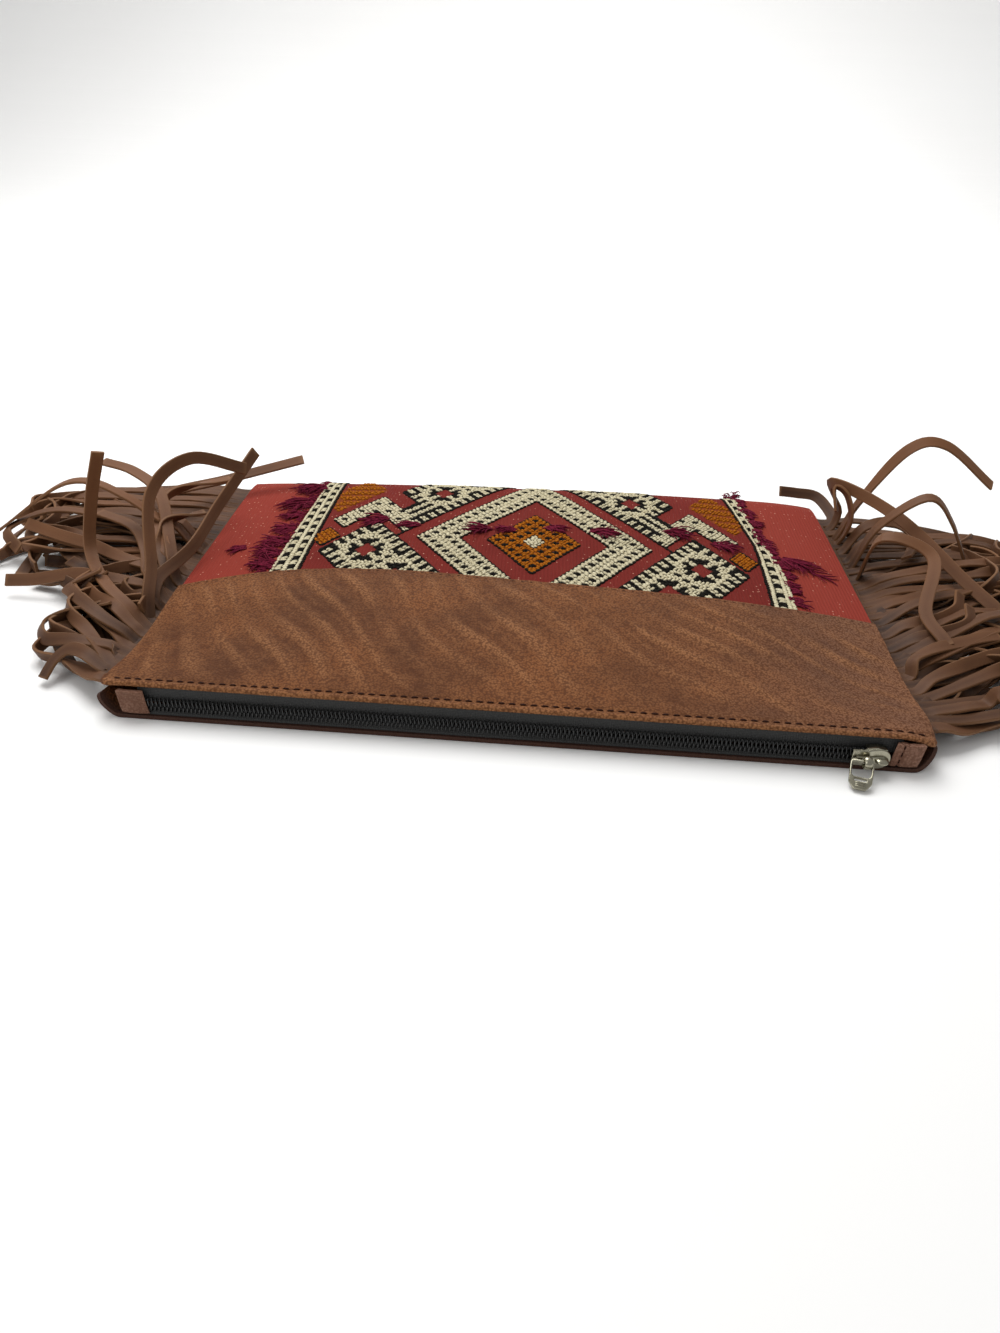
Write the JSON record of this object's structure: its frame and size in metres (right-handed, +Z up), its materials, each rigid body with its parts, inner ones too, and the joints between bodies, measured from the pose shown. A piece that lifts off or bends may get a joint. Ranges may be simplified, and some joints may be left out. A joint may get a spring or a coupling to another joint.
{
  "type": "fringed clutch",
  "caption": "Flat zipped clutch of brown leather with a woven kilim panel and long leather fringes in both side seams, lying on its back.",
  "frame": {"origin": "middle of the back panel's flat underside, which lies on the surface", "axes": "+X along the zip towards its closed end, +Y from the zip edge to the bottom edge, +Z up out of the front"},
  "size_m": [0.5032, 0.2425, 0.0608],
  "materials": {
    "leather": "soft waxed brown leather with a pebbled grain",
    "kilim": "flat-woven red wool with an embroidered pattern",
    "fringe_leather": "cut strips of brown leather with a suede inside",
    "zip_tape": "black woven zip tape",
    "zip_coil": "black nylon coil",
    "nickel": "satin nickel plate"
  },
  "bodies": {
    "bag": {"front_leather_panel": "leather", "front_kilim_panel": "kilim", "back_leather_panel": "leather", "fringe_left": "fringe_leather", "fringe_right": "fringe_leather", "zip_tape_upper": "zip_tape", "zip_tape_lower": "zip_tape", "zip_coil_upper": "zip_coil", "zip_coil_lower": "zip_coil", "zip_tab_left": "leather", "zip_tab_right": "leather"},
    "slider": {"zip_slider": "nickel"},
    "pull": {"zip_pull": "nickel"}
  },
  "joints": [
    {"name": "slider_slide", "type": "slide", "parent": "bag", "child": "slider", "axis": [-0.9999, 0.0167, 0], "range_m": [0, 0.246]},
    {"name": "pull_swing", "type": "hinge", "parent": "slider", "child": "pull", "pos_m": [0.12248, -0.11744, 0.0061], "axis": [-0.9661, 0.2581, 0], "range_deg": [-50, 110]}
  ]
}
